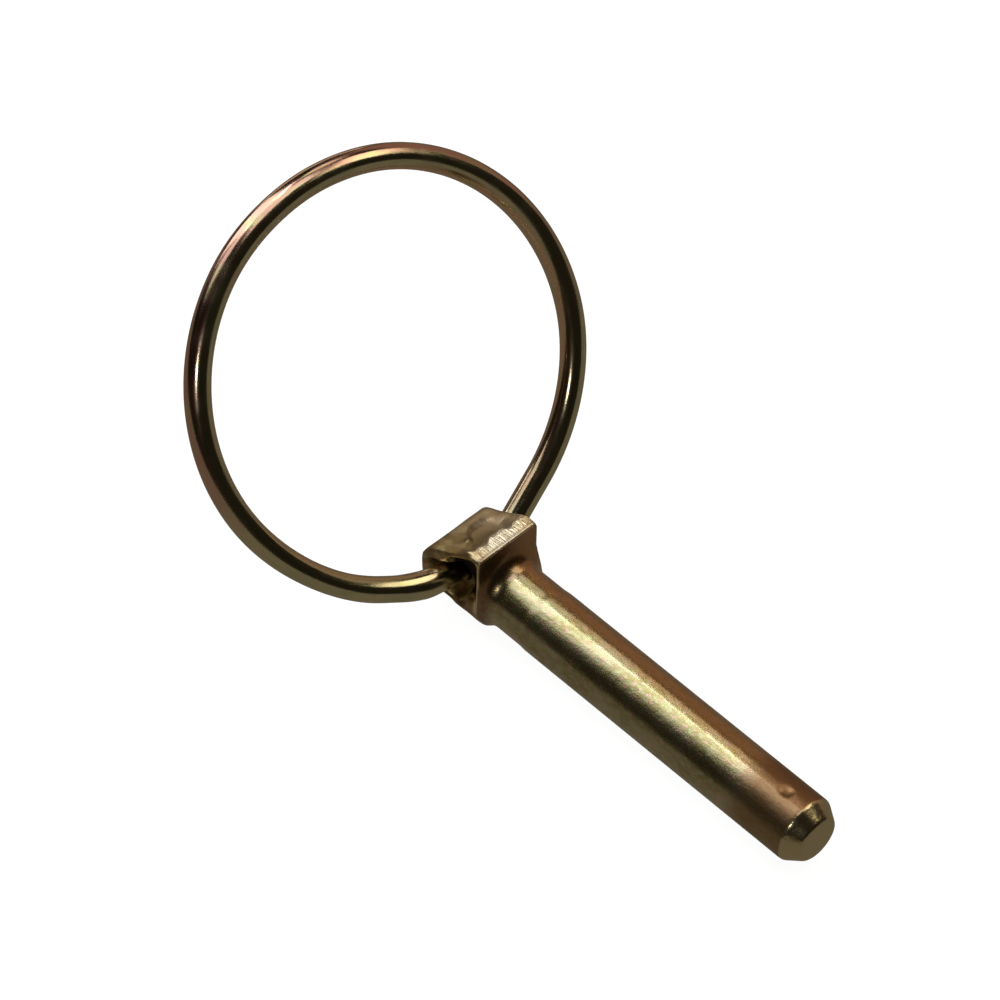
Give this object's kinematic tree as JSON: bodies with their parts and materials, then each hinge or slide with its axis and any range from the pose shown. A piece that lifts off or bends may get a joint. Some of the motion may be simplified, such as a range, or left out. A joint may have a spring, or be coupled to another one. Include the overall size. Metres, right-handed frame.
{
  "type": "lynch pin",
  "caption": "Round lynch pin: a forged steel shank with a wedge-shaped head that carries a hinged round wire ring, all in yellow-passivated zinc.",
  "frame": {"origin": "on the shank's axis, in the plane of the shoulder where the head meets the neck", "axes": "+X along the shank from the shoulder to the tip, +Y along the cross hole that the ring turns in, +Z from the flat underside of the head to its land; at rest the pin lies on its underside, on a surface at z = -4.75 mm"},
  "size_m": [0.0962, 0.06, 0.0545],
  "materials": {
    "pin_zinc": "satin forged steel, zinc plated and yellow passivated, darker on the head",
    "ring_zinc": "bright drawn spring wire, zinc plated and yellow passivated"
  },
  "bodies": {
    "pin": {"pin": "pin_zinc"},
    "ring": {"ring": "ring_zinc"}
  },
  "joints": [
    {"name": "ring_swing", "type": "hinge", "parent": "pin", "child": "ring", "pos_m": [-0.0064, 0, 0], "axis": [0, 1, 0], "range_deg": [-230.2, 116.2]}
  ]
}
